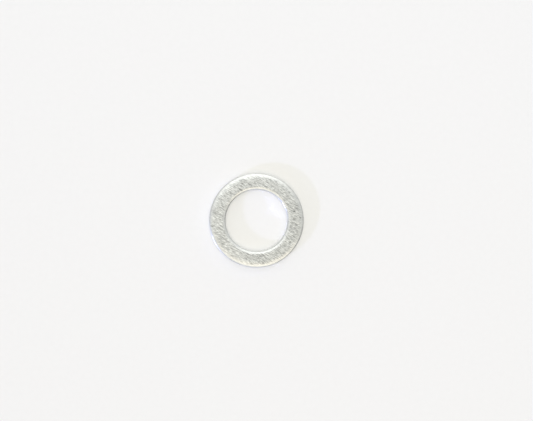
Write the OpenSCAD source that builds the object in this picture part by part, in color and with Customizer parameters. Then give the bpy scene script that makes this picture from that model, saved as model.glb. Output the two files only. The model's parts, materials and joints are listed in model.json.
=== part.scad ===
// Flat round washer, blanked and pierced from soft aluminium sheet in one stroke of a compound die.
// One stroke leaves the two rolled edges on the same face, which is the upper one here.
// The lower face lies on Z = 0, and the bore's axis is +Z through the origin. Sizes are in millimetres.

/* [Ring] */
// Outside diameter, across the sheared wall
outside_d = 21.8; // [20:0.1:26]
// Bore diameter, across the sheared wall
bore_d = 14.3; // [11:0.1:15]
// Thickness of the sheet
sheet_t = 1.5; // [1.2:0.05:2.5]

/* [Rolled edges] */
// Width of the edge that the die draws down around the outside
outer_roll_w = 1.45; // [0.4:0.05:1.6]
// Drop of the outside's rolled edge below the upper face
outer_roll_drop = 0.36; // [0.1:0.01:0.45]
// Width of the edge that the punch draws down around the bore
bore_roll_w = 0.85; // [0.3:0.05:1.1]
// Drop of the bore's rolled edge below the upper face
bore_roll_drop = 0.36; // [0.1:0.01:0.45]

/* [Torn zone] */
// Height at which the smooth sheared wall ends and the torn one begins
torn_h = 0.3; // [0.25:0.05:0.6]
// How far the torn wall leans back from the sheared wall
torn_lean = 0.06; // [0.02:0.01:0.12]
// Radius that tumbling leaves on the lower edges
lower_edge_r = 0.1; // [0.05:0.01:0.2]

/* [Hidden] */
outer_r = outside_d / 2;
bore_r = bore_d / 2;
// Radii at the foot of the torn walls
outer_foot_r = outer_r - torn_lean;
bore_foot_r = bore_r + torn_lean;
// Rolled edges of a narrow ring stop short of each other, so that a flat is left between them
roll_share = 0.45;
roll_limit = roll_share * (outer_r - bore_r);
outer_roll = min(outer_roll_w, roll_limit);
bore_roll = min(bore_roll_w, roll_limit);
$fn = 180;

// What a corner loses where it is eased to a quarter ellipse, w wide and d deep, towards +X and +Y
module eased_corner(w, d) {
  difference() {
    square([w, d]);
    scale([w, d]) circle(r = 1);
  }
}

// Outline that the die and the punch leave, before any edge is eased
module sheared_section() {
  polygon([
    [bore_foot_r, 0],
    [outer_foot_r, 0],
    [outer_foot_r, lower_edge_r],
    [outer_r, torn_h],
    [outer_r, sheet_t],
    [bore_r, sheet_t],
    [bore_r, torn_h],
    [bore_foot_r, lower_edge_r]
  ]);
}

// Half section through the ring, X out from the bore's axis and Y up
module ring_section() {
  difference() {
    sheared_section();
    // Rolled edge of the outside
    translate([outer_r - outer_roll, sheet_t - outer_roll_drop])
      eased_corner(outer_roll, outer_roll_drop);
    // Rolled edge of the bore
    translate([bore_r + bore_roll, sheet_t - bore_roll_drop])
      mirror([1, 0]) eased_corner(bore_roll, bore_roll_drop);
    // Lower edge of the outside
    translate([outer_foot_r - lower_edge_r, lower_edge_r])
      mirror([0, 1]) eased_corner(lower_edge_r, lower_edge_r);
    // Lower edge of the bore
    translate([bore_foot_r + lower_edge_r, lower_edge_r])
      rotate(180) eased_corner(lower_edge_r, lower_edge_r);
  }
}

module washer() {
  color("silver") rotate_extrude() ring_section();
}

washer();
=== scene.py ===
import json
import math
import random

import bmesh
import bpy
from mathutils import Matrix, Quaternion, Vector, kdtree, noise


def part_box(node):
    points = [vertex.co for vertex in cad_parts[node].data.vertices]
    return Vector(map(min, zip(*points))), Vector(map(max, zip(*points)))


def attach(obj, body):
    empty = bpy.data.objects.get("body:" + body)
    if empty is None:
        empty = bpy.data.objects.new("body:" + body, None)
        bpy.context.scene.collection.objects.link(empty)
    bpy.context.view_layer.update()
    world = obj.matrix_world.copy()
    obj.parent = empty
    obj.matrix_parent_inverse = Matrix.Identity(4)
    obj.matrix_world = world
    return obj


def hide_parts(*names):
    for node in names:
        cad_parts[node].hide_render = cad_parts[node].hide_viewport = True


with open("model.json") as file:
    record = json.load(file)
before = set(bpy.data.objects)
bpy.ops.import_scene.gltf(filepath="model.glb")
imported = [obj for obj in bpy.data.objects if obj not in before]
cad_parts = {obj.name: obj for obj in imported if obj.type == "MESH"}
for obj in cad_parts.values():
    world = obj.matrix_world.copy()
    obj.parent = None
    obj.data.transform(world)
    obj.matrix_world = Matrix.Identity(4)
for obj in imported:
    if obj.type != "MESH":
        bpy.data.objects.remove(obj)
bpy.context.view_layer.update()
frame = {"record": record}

mm = 0.001
quarterTurn = math.pi / 2
ringLow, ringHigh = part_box("washer")
boreMount = next(m for m in frame["record"]["mounts"] if m["name"] == "bore")
outerRadius = (ringHigh.x - ringLow.x) / 2
boreRadius = boreMount["dims"]["r_mm"] * mm
sheetTop = ringHigh.z
print(f"frame loaded: ring {2 * outerRadius / mm:.1f} mm outside, bore {2 * boreRadius / mm:.1f} mm")


def linearColour(hexCode):
    # sRGB hex to the linear values that sockets take
    parts = [int(hexCode[i:i + 2], 16) / 255 for i in (1, 3, 5)]
    return [p / 12.92 if p <= 0.04045 else ((p + 0.055) / 1.055) ** 2.4 for p in parts] + [1]


def addNode(tree, kind, settings=None, links=None):
    # one node, its settings (sockets or properties) and what feeds it
    node = tree.nodes.new(kind)
    for name, value in (settings or {}).items():
        if isinstance(name, int) or name in node.inputs:
            node.inputs[name].default_value = value
        else:
            setattr(node, name, value)
    for name, source in (links or {}).items():
        tree.links.new(source, node.inputs[name])
    return node


def newMaterial(name):
    material = bpy.data.materials.new(name)
    material.use_nodes = True
    material.node_tree.nodes.clear()
    return material, material.node_tree


def direction(azimuth, elevation):
    a, e = math.radians(azimuth), math.radians(elevation)
    return Vector((math.cos(a) * math.cos(e), math.sin(a) * math.cos(e), math.sin(e)))


def smoothStep(low, high, value):
    share = min(1, max(0, (value - low) / (high - low)))
    return share * share * (3 - 2 * share)


# Camera: almost straight above the ring, placed so that the ring falls where the picture has it
picture = {
    "width": 533,                        # pixels
    "height": 421,
    "ringAcross": 94.6,                  # pixels over the outside
    "ringMiddle": (256.64, 220.72),      # pixels from the left and from the top
    "distance": 260 * mm,
    "nearest": 10 * mm,                  # nothing closer than this is drawn
    "azimuth": 130,                      # degrees, the side towards which the camera leans
    "lean": 5,                           # degrees from straight above
    "sensor": 36.0,                      # millimetres, the long side
}


def addCamera(p):
    pixel = 2 * outerRadius / p["ringAcross"]
    data = bpy.data.cameras.new("overhead")
    data.sensor_width = p["sensor"]
    data.lens = p["sensor"] * p["distance"] / (p["width"] * pixel)
    data.clip_start = p["nearest"]
    camera = bpy.data.objects.new("overhead", data)
    across = (p["width"] / 2 - p["ringMiddle"][0]) * pixel
    up = (p["ringMiddle"][1] - p["height"] / 2) * pixel
    # leans about a level axis, so that the picture's own up stays the frame's Y
    hinge = direction(p["azimuth"] + 90, 0)
    turn = Matrix.Rotation(math.radians(p["lean"]), 4, hinge)
    middle = Matrix.Translation((0, 0, sheetTop))
    camera.matrix_world = middle @ turn @ Matrix.Translation((across, up, p["distance"]))
    bpy.context.scene.collection.objects.link(camera)
    bpy.context.scene.camera = camera
    print(f"camera set: {data.lens:.1f} mm lens, {p['distance'] / mm:.0f} mm above the ring")


addCamera(picture)


# Ring section: the same rolled edges, sheared walls and torn feet as the solid
section = {
    "outerRoll": (1.45 * mm, 0.36 * mm),  # width and drop
    "boreRoll": (0.85 * mm, 0.36 * mm),
    "tornHeight": 0.3 * mm,
    "tornLean": 0.06 * mm,
    "lowerEdge": (0.1 * mm, 0.1 * mm),
    "rollSteps": 14,
    "lowerSteps": 4,
    "longestStep": 0.11 * mm,            # between two points of the section
    "slices": 12,
    "sliceSteps": 60,                    # half a degree each
    "mergeWithin": 0.001 * mm,
    "steep": 0.5,                        # where the normal rises less than this, the metal counts as steep
    "rubbedTilt": (2.5, 15),             # degrees over which tumbling goes from no polish to full
    "shearedFinish": 1,                  # places in the ring's list of finishes, where the sheet is 0
    "tornFinish": 2,
}


def easedEdge(bm, corner, reach, startTurn, steps):
    # one vertex swung a quarter turn, then stretched to the edge's width and drop
    known = set(bm.verts)
    tip = bm.verts.new((math.cos(startTurn), 0, math.sin(startTurn)))
    bmesh.ops.spin(bm, geom=[tip], cent=(0, 0, 0), axis=(0, 1, 0), angle=quarterTurn, steps=steps)
    chain = [v for v in bm.verts if v not in known]
    bmesh.ops.scale(bm, verts=chain, vec=(reach[0], 1, reach[1]))
    bmesh.ops.translate(bm, verts=chain, vec=(corner[0], 0, corner[1]))
    return chain


def spinRing(s):
    bm = bmesh.new()
    outerW, outerDrop = s["outerRoll"]
    boreW, boreDrop = s["boreRoll"]
    lowerR = s["lowerEdge"][0]
    outerFoot = outerRadius - s["tornLean"]
    boreFoot = boreRadius + s["tornLean"]
    outerCorner = (outerRadius - outerW, sheetTop - outerDrop)
    boreCorner = (boreRadius + boreW, sheetTop - boreDrop)
    # round the section clockwise, from the upper face over the outside to the bore
    loop = easedEdge(bm, outerCorner, s["outerRoll"], quarterTurn, s["rollSteps"])
    loop.append(bm.verts.new((outerRadius, 0, s["tornHeight"])))
    loop += easedEdge(bm, (outerFoot - lowerR, lowerR), s["lowerEdge"], 0, s["lowerSteps"])
    loop += easedEdge(bm, (boreFoot + lowerR, lowerR), s["lowerEdge"], -quarterTurn, s["lowerSteps"])
    loop.append(bm.verts.new((boreRadius, 0, s["tornHeight"])))
    loop += easedEdge(bm, boreCorner, s["boreRoll"], -2 * quarterTurn, s["rollSteps"])
    for first, second in zip(loop, loop[1:] + loop[:1]):
        if bm.edges.get((first, second)) is None:
            bm.edges.new((first, second))
    for edge in list(bm.edges):
        cuts = int(edge.calc_length() / s["longestStep"])
        if cuts:
            bmesh.ops.subdivide_edges(bm, edges=[edge], cuts=cuts)
    # one slice is spun and then copied round, because one long spin is slow
    sliceTurn = 2 * math.pi / s["slices"]
    bmesh.ops.spin(bm, geom=bm.verts[:] + bm.edges[:], cent=(0, 0, 0), axis=(0, 0, 1),
                   angle=sliceTurn, steps=s["sliceSteps"])
    bmesh.ops.spin(bm, geom=bm.verts[:] + bm.edges[:] + bm.faces[:], cent=(0, 0, 0), axis=(0, 0, 1),
                   angle=2 * math.pi - sliceTurn, steps=s["slices"] - 1, use_duplicate=True)
    bmesh.ops.remove_doubles(bm, verts=bm.verts, dist=s["mergeWithin"])
    bmesh.ops.recalc_face_normals(bm, faces=bm.faces)
    bm.normal_update()
    return bm


bm = spinRing(section)
print(f"ring spun: {len(bm.verts)} points, {len(bm.faces)} faces")


# Zones of the punched ring: the walls below the rolled edges are sheared, and their feet are torn
def sortZones(bm, s):
    wallTop = sheetTop - max(s["outerRoll"][1], s["boreRoll"][1])
    for face in bm.faces:
        face.smooth = True
        height = face.calc_center_median().z
        if abs(face.normal.z) < s["steep"] and height < wallTop:
            face.material_index = s["shearedFinish"] if height > s["tornHeight"] else s["tornFinish"]
    burnish = bm.verts.layers.float.new("burnish")
    for v in bm.verts:
        tilt = math.degrees(math.acos(min(1, abs(v.normal.z))))
        v[burnish] = smoothStep(*s["rubbedTilt"], tilt)


sortZones(bm, section)
print("zones sorted: rolled sheet, sheared walls and torn feet")


# Wear: what stamping and tumbling leave in the metal itself
wear = {
    "seed": 14,
    "wanderDepth": 0.010 * mm,           # slow unevenness of the rolled edges
    "wanderLength": 5 * mm,
    "tornDepth": 0.030 * mm,             # roughness of the torn feet
    "tornGrain": 0.16 * mm,
    "dents": 300,
    "dentRadius": (0.16 * mm, 0.45 * mm),
    "dentDepth": (0.002 * mm, 0.009 * mm),
}
pitting = {
    "turn": math.radians(150),           # pits run with the rolling direction
    "crumb": 0.14 * mm,                  # size of the crumbs that make their outline ragged
    "ragged": 0.45,                      # how far the crumbs push that outline in and out
    "floor": 0.35,                       # share of a pit that is as deep as its middle
    "deepest": 0.030 * mm,               # a pit this deep is as dark as pits get
    # radius, angle in degrees, half length, half width and depth of each pit
    "pits": [
        (8.98 * mm, 13.5, 0.38 * mm, 0.22 * mm, 0.034 * mm),
        (8.70 * mm, 1.5, 0.52 * mm, 0.26 * mm, 0.022 * mm),
        (9.28 * mm, 354.7, 0.50 * mm, 0.22 * mm, 0.020 * mm),
        (9.05 * mm, 348.5, 0.42 * mm, 0.20 * mm, 0.016 * mm),
        (8.76 * mm, 334.5, 0.60 * mm, 0.26 * mm, 0.016 * mm),
        (9.20 * mm, 327.0, 0.46 * mm, 0.22 * mm, 0.022 * mm),
        (10.14 * mm, 4.0, 0.40 * mm, 0.20 * mm, 0.014 * mm),
        (9.16 * mm, 34.7, 0.46 * mm, 0.18 * mm, 0.014 * mm),
        (9.15 * mm, 110.8, 0.40 * mm, 0.20 * mm, 0.022 * mm),
        (8.00 * mm, 117.0, 0.62 * mm, 0.24 * mm, 0.020 * mm),
        (8.69 * mm, 154.7, 0.36 * mm, 0.16 * mm, 0.014 * mm),
        (8.32 * mm, 276.2, 0.40 * mm, 0.18 * mm, 0.012 * mm),
        (10.40 * mm, 187.0, 0.46 * mm, 0.22 * mm, 0.020 * mm),
    ],
}


def dent(bm, tree, centre, inward, radius, depth):
    # a smooth round hollow, deepest in its middle
    for _, index, away in tree.find_range(centre, radius):
        bm.verts[index].co += inward * depth * (1 - (away / radius) ** 2) ** 2


def pit(bm, tree, p, spot, length, width, depth, layer):
    # a ragged hollow, drawn out along the rolling direction
    for co, index, _ in tree.find_range(spot, length):
        across = co - spot
        along = across.x * math.cos(p["turn"]) + across.y * math.sin(p["turn"])
        aside = across.y * math.cos(p["turn"]) - across.x * math.sin(p["turn"])
        far = math.hypot(along / length, aside / width) + p["ragged"] * noise.noise(co / p["crumb"])
        share = 1 - smoothStep(p["floor"], 1, far)
        bm.verts[index].co.z -= depth * share
        bm.verts[index][layer] = max(bm.verts[index][layer], share * depth / p["deepest"])


def wearRing(bm, s, w, p):
    rng = random.Random(w["seed"])
    burnish = bm.verts.layers.float["burnish"]
    pitted = bm.verts.layers.float.new("pitted")
    lowerR = s["lowerEdge"][0]
    for v in bm.verts:
        if v.co.z > sheetTop / 2:
            slow = 0.5 + 0.5 * noise.noise(v.co / w["wanderLength"])
            v.co.z -= w["wanderDepth"] * v[burnish] * slow
        elif lowerR < v.co.z < s["tornHeight"] and abs(v.normal.z) < s["steep"]:
            rough = 0.5 + 0.5 * noise.noise(v.co / w["tornGrain"])
            v.co -= v.normal * w["tornDepth"] * rough
    bm.verts.ensure_lookup_table()
    tree = kdtree.KDTree(len(bm.verts))
    for v in bm.verts:
        tree.insert(v.co, v.index)
    tree.balance()
    for _ in range(w["dents"]):
        v = bm.verts[rng.randrange(len(bm.verts))]
        radius = rng.uniform(*w["dentRadius"])
        dent(bm, tree, v.co.copy(), -v.normal, radius, rng.uniform(*w["dentDepth"]))
    for radius, angle, length, width, depth in p["pits"]:
        spot = direction(angle, 0) * radius + Vector((0, 0, sheetTop))
        pit(bm, tree, p, tree.find(spot)[0], length, width, depth, pitted)
    bm.normal_update()


bm.verts.index_update()
wearRing(bm, section, wear, pitting)
print(f"wear pressed in: {wear['dents']} dents, {len(pitting['pits'])} pits")


# Aluminium sheet as the mill rolls it, then tumbled: a soft grey sheen, fine straight streaks that run
# one way across the whole ring, faint scuffs, and edges rubbed brighter and smoother than the face
millSheet = {
    "dull": "#8f9190",
    "bright": "#e9ebea",
    "pit": "#767877",
    # turn in degrees, length and width of one streak, weight
    # real grain is finer, and this is drawn as coarse as it needs to show
    "streaks": [
        (152, 0.80 * mm, 0.15 * mm, 2.3),
        (148, 2.40 * mm, 0.21 * mm, 1.05),
        (20, 0.30 * mm, 0.24 * mm, 0.65),
        (150, 4.00 * mm, 1.50 * mm, 0.50),
    ],
    "detail": 2.0,
    "faceRoughness": (0.46, 0.32),       # in dull and in bright streaks
    "edgeRoughness": 0.32,
    "edgeTone": 0.80,
    "edgeHold": 0.70,                    # how far the edges lose the grain
    "bump": 0.008 * mm,
}


def makeMillSheet(m):
    material, tree = newMaterial("aluminiumMillRolled")
    place = addNode(tree, "ShaderNodeTexCoord").outputs["Object"]
    burnish = addNode(tree, "ShaderNodeAttribute", {"attribute_name": "burnish"}).outputs["Fac"]
    pitted = addNode(tree, "ShaderNodeAttribute", {"attribute_name": "pitted"}).outputs["Fac"]
    tone = None
    rest = 0.5 - 0.5 * sum(weight for *_, weight in m["streaks"])  # keeps the mean tone halfway
    for turn, length, width, weight in m["streaks"]:
        along = addNode(tree, "ShaderNodeMapping", {
            "vector_type": "TEXTURE",
            "Rotation": (0, 0, math.radians(turn)),
            "Scale": (length, width, length),
        }, {"Vector": place}).outputs["Vector"]
        grain = addNode(tree, "ShaderNodeTexNoise", {"Scale": 1.0, "Detail": m["detail"]}, {"Vector": along})
        summed = addNode(tree, "ShaderNodeMath", {"operation": "MULTIPLY_ADD", 1: weight, 2: rest},
                         {0: grain.outputs["Fac"]})
        if tone is not None:
            tree.links.new(tone, summed.inputs[2])
        tone = summed.outputs[0]
    held = addNode(tree, "ShaderNodeMath", {"operation": "MULTIPLY", 1: m["edgeHold"]},
                   {0: burnish}).outputs[0]
    shown = addNode(tree, "ShaderNodeMix", {"data_type": "FLOAT", 3: m["edgeTone"]},
                    {0: held, 2: tone}).outputs[0]
    metal = addNode(tree, "ShaderNodeMix", {
        "data_type": "RGBA", 6: linearColour(m["dull"]), 7: linearColour(m["bright"]),
    }, {0: shown}).outputs[2]
    colour = addNode(tree, "ShaderNodeMix", {"data_type": "RGBA", 7: linearColour(m["pit"])},
                     {0: pitted, 6: metal}).outputs[2]
    sheen = addNode(tree, "ShaderNodeMapRange", {3: m["faceRoughness"][0], 4: m["faceRoughness"][1]},
                    {0: shown}).outputs[0]
    rough = addNode(tree, "ShaderNodeMix", {"data_type": "FLOAT", 3: m["edgeRoughness"]},
                    {0: burnish, 2: sheen}).outputs[0]
    bump = addNode(tree, "ShaderNodeBump", {"Strength": 1.0, "Distance": m["bump"]}, {"Height": shown})
    shader = addNode(tree, "ShaderNodeBsdfPrincipled", {"Metallic": 1.0},
                     {"Base Color": colour, "Roughness": rough, "Normal": bump.outputs["Normal"]})
    addNode(tree, "ShaderNodeOutputMaterial", None, {"Surface": shader.outputs["BSDF"]})
    return material


def metalWall(tree, m, pattern):
    # what both wall finishes share: colour, roughness and bump that follow one pattern
    tone = addNode(tree, "ShaderNodeMapRange", {1: m["contrast"][0], 2: m["contrast"][1]},
                   {0: pattern}).outputs[0]
    metal = addNode(tree, "ShaderNodeMix", {
        "data_type": "RGBA", 6: linearColour(m["dull"]), 7: linearColour(m["bright"]),
    }, {0: tone}).outputs[2]
    rough = addNode(tree, "ShaderNodeMapRange", {3: m["roughness"][0], 4: m["roughness"][1]},
                    {0: tone}).outputs[0]
    bump = addNode(tree, "ShaderNodeBump", {"Strength": 1.0, "Distance": m["bump"]}, {"Height": tone})
    shader = addNode(tree, "ShaderNodeBsdfPrincipled", {"Metallic": 1.0},
                     {"Base Color": metal, "Roughness": rough, "Normal": bump.outputs["Normal"]})
    addNode(tree, "ShaderNodeOutputMaterial", None, {"Surface": shader.outputs["BSDF"]})


# Aluminium cut by the die: a bright satin wall, with fine drag lines down it
shearedWall = {
    "dull": "#f0f1f0",
    "bright": "#fcfdfc",
    "lineWidth": 0.10 * mm,
    "lineLength": 3.0 * mm,
    "detail": 2.0,
    "contrast": (0.3, 0.7),              # the part of the pattern's range that is used
    "roughness": (0.34, 0.26),           # in dull and in bright lines
    "bump": 0.003 * mm,
}


def makeShearedWall(m):
    material, tree = newMaterial("aluminiumSheared")
    place = addNode(tree, "ShaderNodeTexCoord").outputs["Object"]
    lines = addNode(tree, "ShaderNodeMapping", {
        "vector_type": "TEXTURE", "Scale": (m["lineWidth"], m["lineWidth"], m["lineLength"]),
    }, {"Vector": place}).outputs["Vector"]
    drag = addNode(tree, "ShaderNodeTexNoise", {"Scale": 1.0, "Detail": m["detail"]}, {"Vector": lines})
    metalWall(tree, m, drag.outputs["Fac"])
    return material


# Aluminium broken away below the cut: matt, crumbly and a shade darker
tornFoot = {
    "dull": "#c4c6c4",
    "bright": "#f0f2f0",
    "grain": 0.09 * mm,
    "detail": 3.0,
    "contrast": (0.3, 0.7),
    "roughness": (0.60, 0.42),
    "bump": 0.012 * mm,
}


def makeTornFoot(m):
    material, tree = newMaterial("aluminiumTorn")
    place = addNode(tree, "ShaderNodeTexCoord").outputs["Object"]
    crumbs = addNode(tree, "ShaderNodeTexNoise", {"Scale": 1 / m["grain"], "Detail": m["detail"]},
                     {"Vector": place})
    metalWall(tree, m, crumbs.outputs["Fac"])
    return material


mesh = bpy.data.meshes.new("ring")
bm.to_mesh(mesh)
bm.free()
for finish in (makeMillSheet(millSheet), makeShearedWall(shearedWall), makeTornFoot(tornFoot)):
    mesh.materials.append(finish)
ring = bpy.data.objects.new("ring", mesh)
bpy.context.scene.collection.objects.link(ring)
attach(ring, "root")
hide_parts("washer")
print(f"ring finished: {len(mesh.materials)} finishes")


# Floor: a wide sheet of pale matt paper, with a faint tooth
floorSheet = {
    "halfSize": 1500 * mm,
    "drop": 0.01 * mm,                   # keeps the two flat faces apart
    "low": "#e7e7e7",
    "high": "#eaeaea",
    "tooth": 1.2 * mm,
    "detail": 3.0,
    "roughness": 0.9,
    "gloss": 0.0,
}


def addFloor(p):
    bm = bmesh.new()
    bmesh.ops.create_grid(bm, x_segments=1, y_segments=1, size=p["halfSize"])
    bmesh.ops.translate(bm, verts=bm.verts, vec=(0, 0, -p["drop"]))
    mesh = bpy.data.meshes.new("floor")
    bm.to_mesh(mesh)
    bm.free()
    material, tree = newMaterial("paperUncoated")
    place = addNode(tree, "ShaderNodeTexCoord").outputs["Object"]
    tooth = addNode(tree, "ShaderNodeTexNoise", {"Scale": 1 / p["tooth"], "Detail": p["detail"]},
                    {"Vector": place}).outputs["Fac"]
    colour = addNode(tree, "ShaderNodeMix", {
        "data_type": "RGBA", 6: linearColour(p["low"]), 7: linearColour(p["high"]),
    }, {0: tooth}).outputs[2]
    shader = addNode(tree, "ShaderNodeBsdfPrincipled", {
        "Roughness": p["roughness"], "Specular IOR Level": p["gloss"],
    }, {"Base Color": colour})
    addNode(tree, "ShaderNodeOutputMaterial", None, {"Surface": shader.outputs["BSDF"]})
    mesh.materials.append(material)
    floor = bpy.data.objects.new("floor", mesh)
    bpy.context.scene.collection.objects.link(floor)
    print("floor laid")


addFloor(floorSheet)


# Light: two soft panels, above and below the picture, and a faint cool lamp low at its lower left
panels = [
    {"name": "panelAbove", "azimuth": 88, "elevation": 56, "distance": 0.5, "turn": -18,
     "size": (0.43, 0.60), "glow": 0.66, "colour": "#fffefa"},
    {"name": "panelBelow", "azimuth": 279, "elevation": 58, "distance": 0.5, "turn": -27,
     "size": (0.54, 0.30), "glow": 0.62, "colour": "#fff0d2"},
]
lamps = [
    {"name": "coolLamp", "azimuth": 213, "elevation": 15, "turn": 0,
     "spread": 2.2, "strength": 1.12, "colour": "#bdc4ff"},
]
wattsPerGlow = 4                         # what a square metre of panel gives off for each unit of glow


def addLight(p, kind, place):
    data = bpy.data.lights.new(p["name"], kind)
    data.color = linearColour(p["colour"])[:3]
    light = bpy.data.objects.new(p["name"], data)
    light.location = place
    turn = Quaternion((0, 0, 1), math.radians(p["turn"]))
    light.rotation_euler = (place.to_track_quat("Z", "Y") @ turn).to_euler()
    bpy.context.scene.collection.objects.link(light)
    return data


for p in panels:
    data = addLight(p, "AREA", direction(p["azimuth"], p["elevation"]) * p["distance"])
    data.shape = "RECTANGLE"
    data.size, data.size_y = p["size"]
    data.energy = wattsPerGlow * data.size * data.size_y * p["glow"]
for p in lamps:
    data = addLight(p, "SUN", direction(p["azimuth"], p["elevation"]))
    data.angle = math.radians(p["spread"])
    data.energy = p["strength"]


# Room: pale walls and ceiling, cool daylight low on one side, and a darker wall and ceiling on another
room = {
    "overhead": "#f7f8f3",
    "overheadFar": "#c8c9c4",            # past the middle, towards the darker side
    "level": "#f5f5f1",
    "horizon": "#d0d0cc",
    "coolHorizon": "#c2d2ff",
    "coolAzimuth": 245,                  # degrees, the side that daylight comes from
    "darkWall": "#989895",
    "darkAzimuth": 330,                  # degrees, the darker side of the room
    # each pair is where a blend begins and ends, in the height or the sideways share of a direction
    "horizonHeight": (0.05, 0.6),
    "ceilingHeight": (0.88, 0.985),
    "coolShare": (0.3, 0.8),
    "farShare": (-0.10, 0.10),
    "darkShare": (0.68, 0.80),
}


def addRoom(r):
    world = bpy.data.worlds.new("paleRoom")
    bpy.context.scene.world = world
    world.use_nodes = True
    tree = world.node_tree
    tree.nodes.clear()
    skyward = addNode(tree, "ShaderNodeTexCoord").outputs["Generated"]
    height = addNode(tree, "ShaderNodeSeparateXYZ", None, {"Vector": skyward}).outputs["Z"]
    darkward = addNode(tree, "ShaderNodeVectorMath", {
        "operation": "DOT_PRODUCT", 1: direction(r["darkAzimuth"], 0),
    }, {0: skyward}).outputs["Value"]
    coolward = addNode(tree, "ShaderNodeVectorMath", {
        "operation": "DOT_PRODUCT", 1: direction(r["coolAzimuth"], 0),
    }, {0: skyward}).outputs["Value"]
    blends = {}
    for name, value in (("horizonHeight", height), ("ceilingHeight", height), ("coolShare", coolward),
                        ("farShare", darkward), ("darkShare", darkward)):
        blends[name] = addNode(tree, "ShaderNodeMapRange", {1: r[name][0], 2: r[name][1]},
                               {0: value}).outputs[0]
    horizon = addNode(tree, "ShaderNodeMix", {
        "data_type": "RGBA", 6: linearColour(r["horizon"]), 7: linearColour(r["coolHorizon"]),
    }, {0: blends["coolShare"]}).outputs[2]
    walls = addNode(tree, "ShaderNodeMix", {"data_type": "RGBA", 7: linearColour(r["level"])},
                    {0: blends["horizonHeight"], 6: horizon}).outputs[2]
    ceiling = addNode(tree, "ShaderNodeMix", {
        "data_type": "RGBA", 6: linearColour(r["overhead"]), 7: linearColour(r["overheadFar"]),
    }, {0: blends["farShare"]}).outputs[2]
    sky = addNode(tree, "ShaderNodeMix", {"data_type": "RGBA"},
                  {0: blends["ceilingHeight"], 6: walls, 7: ceiling}).outputs[2]
    surround = addNode(tree, "ShaderNodeMix", {"data_type": "RGBA", 7: linearColour(r["darkWall"])},
                       {0: blends["darkShare"], 6: sky}).outputs[2]
    glow = addNode(tree, "ShaderNodeBackground", None, {"Color": surround})
    addNode(tree, "ShaderNodeOutputWorld", None, {"Surface": glow.outputs["Background"]})


addRoom(room)
bpy.context.scene.view_settings.view_transform = "Standard"
bpy.context.scene.cycles.blur_glossy = 0.0  # lets the ring's bright walls throw light on the paper
print(f"light set: {len(panels)} panels, {len(lamps)} lamp and a pale room")
